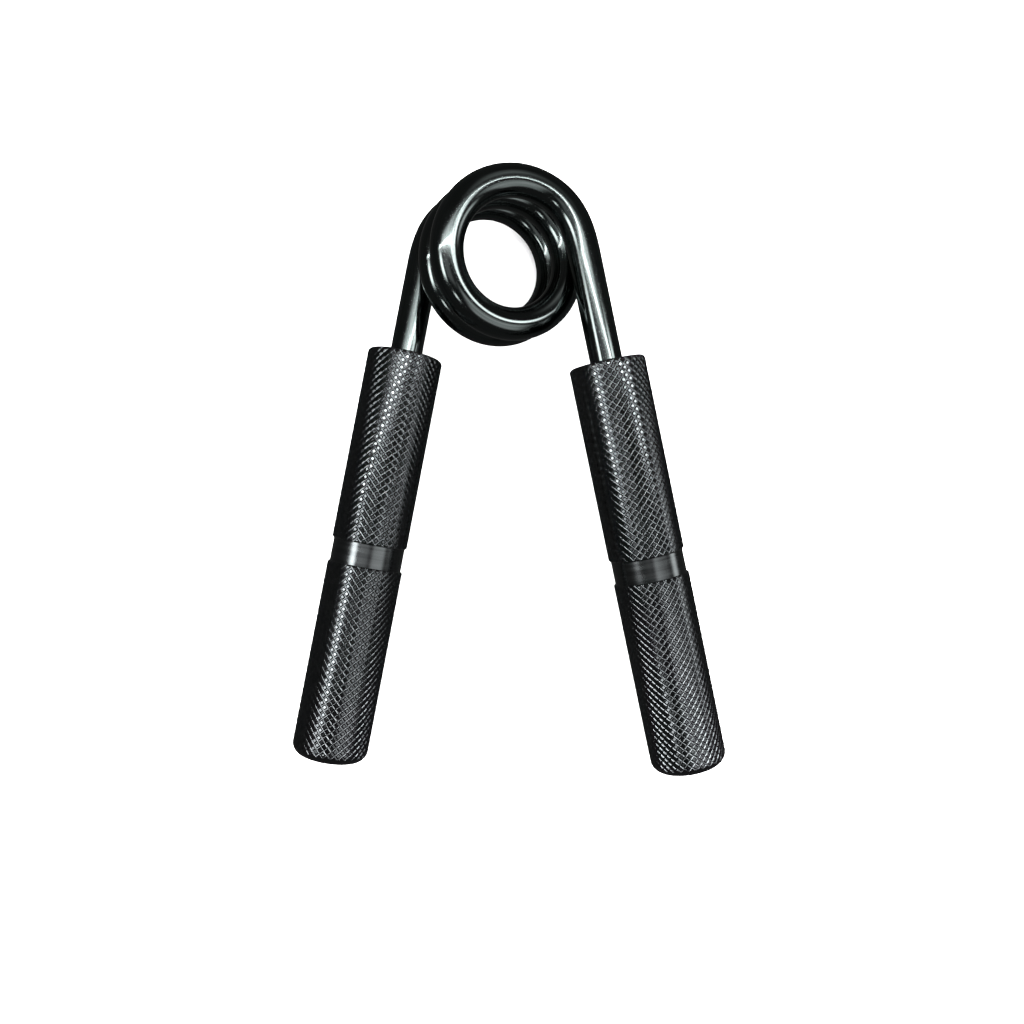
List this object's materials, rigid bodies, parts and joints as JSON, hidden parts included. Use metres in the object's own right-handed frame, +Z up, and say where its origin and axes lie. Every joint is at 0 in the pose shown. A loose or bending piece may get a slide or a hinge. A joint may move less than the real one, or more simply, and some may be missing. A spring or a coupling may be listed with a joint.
{
  "type": "torsion spring hand gripper",
  "caption": "Hand gripper: a black torsion-spring coil whose two straight legs are set into diamond-knurled black aluminium handles with a smooth turned band.",
  "frame": {"origin": "bottom centre of the gripper's box as it lies at rest on a table, on both handle ends and the coil's lowest turn", "axes": "+Z up from the table, +Y from the handle ends towards the coil, +X towards the handle whose leg leaves the upper end of the coil"},
  "size_m": [0.1086, 0.1502, 0.0342],
  "materials": {
    "spring_steel": "black nickel plated spring steel, glossy, near black with bright streaks",
    "knurled_aluminium": "black anodised, satin, diamond knurled, with a smooth turned band and smooth rounded rims"
  },
  "bodies": {
    "left_arm": {"spring_leg_left": "spring_steel", "handle_left": "knurled_aluminium"},
    "right_arm": {"spring_leg_right": "spring_steel", "handle_right": "knurled_aluminium"},
    "coil_1": {"coil_segment_1": "spring_steel"},
    "coil_2": {"coil_segment_2": "spring_steel"},
    "coil_3": {"coil_segment_3": "spring_steel"},
    "coil_4": {"coil_segment_4": "spring_steel"},
    "coil_5": {"coil_segment_5": "spring_steel"}
  },
  "joints": [
    {"name": "squeeze", "type": "hinge", "parent": "left_arm", "child": "right_arm", "pos_m": [-0.00035, 0.05378, 0.01684], "axis": [0, 0, -1], "range_deg": [0, 31.5], "stiffness_Nm_per_rad": 160},
    {"name": "coil_wind_1", "type": "hinge", "parent": "left_arm", "child": "coil_1", "pos_m": [-0.00035, 0.05378, 0.01684], "axis": [0, 0, -1], "range_deg": [0, 6.3]},
    {"name": "coil_wind_2", "type": "hinge", "parent": "coil_1", "child": "coil_2", "pos_m": [-0.00035, 0.05378, 0.01684], "axis": [0, 0, -1], "range_deg": [0, 6.3]},
    {"name": "coil_wind_3", "type": "hinge", "parent": "coil_2", "child": "coil_3", "pos_m": [-0.00035, 0.05378, 0.01684], "axis": [0, 0, -1], "range_deg": [0, 6.3]},
    {"name": "coil_wind_4", "type": "hinge", "parent": "coil_3", "child": "coil_4", "pos_m": [-0.00035, 0.05378, 0.01684], "axis": [0, 0, -1], "range_deg": [0, 6.3]},
    {"name": "coil_wind_5", "type": "hinge", "parent": "coil_4", "child": "coil_5", "pos_m": [-0.00035, 0.05378, 0.01684], "axis": [0, 0, -1], "range_deg": [0, 6.3]}
  ],
  "couplings": [
    {"joint": "coil_wind_1", "follows": "squeeze", "ratio": 0.2},
    {"joint": "coil_wind_2", "follows": "squeeze", "ratio": 0.2},
    {"joint": "coil_wind_3", "follows": "squeeze", "ratio": 0.2},
    {"joint": "coil_wind_4", "follows": "squeeze", "ratio": 0.2},
    {"joint": "coil_wind_5", "follows": "squeeze", "ratio": 0.2}
  ]
}
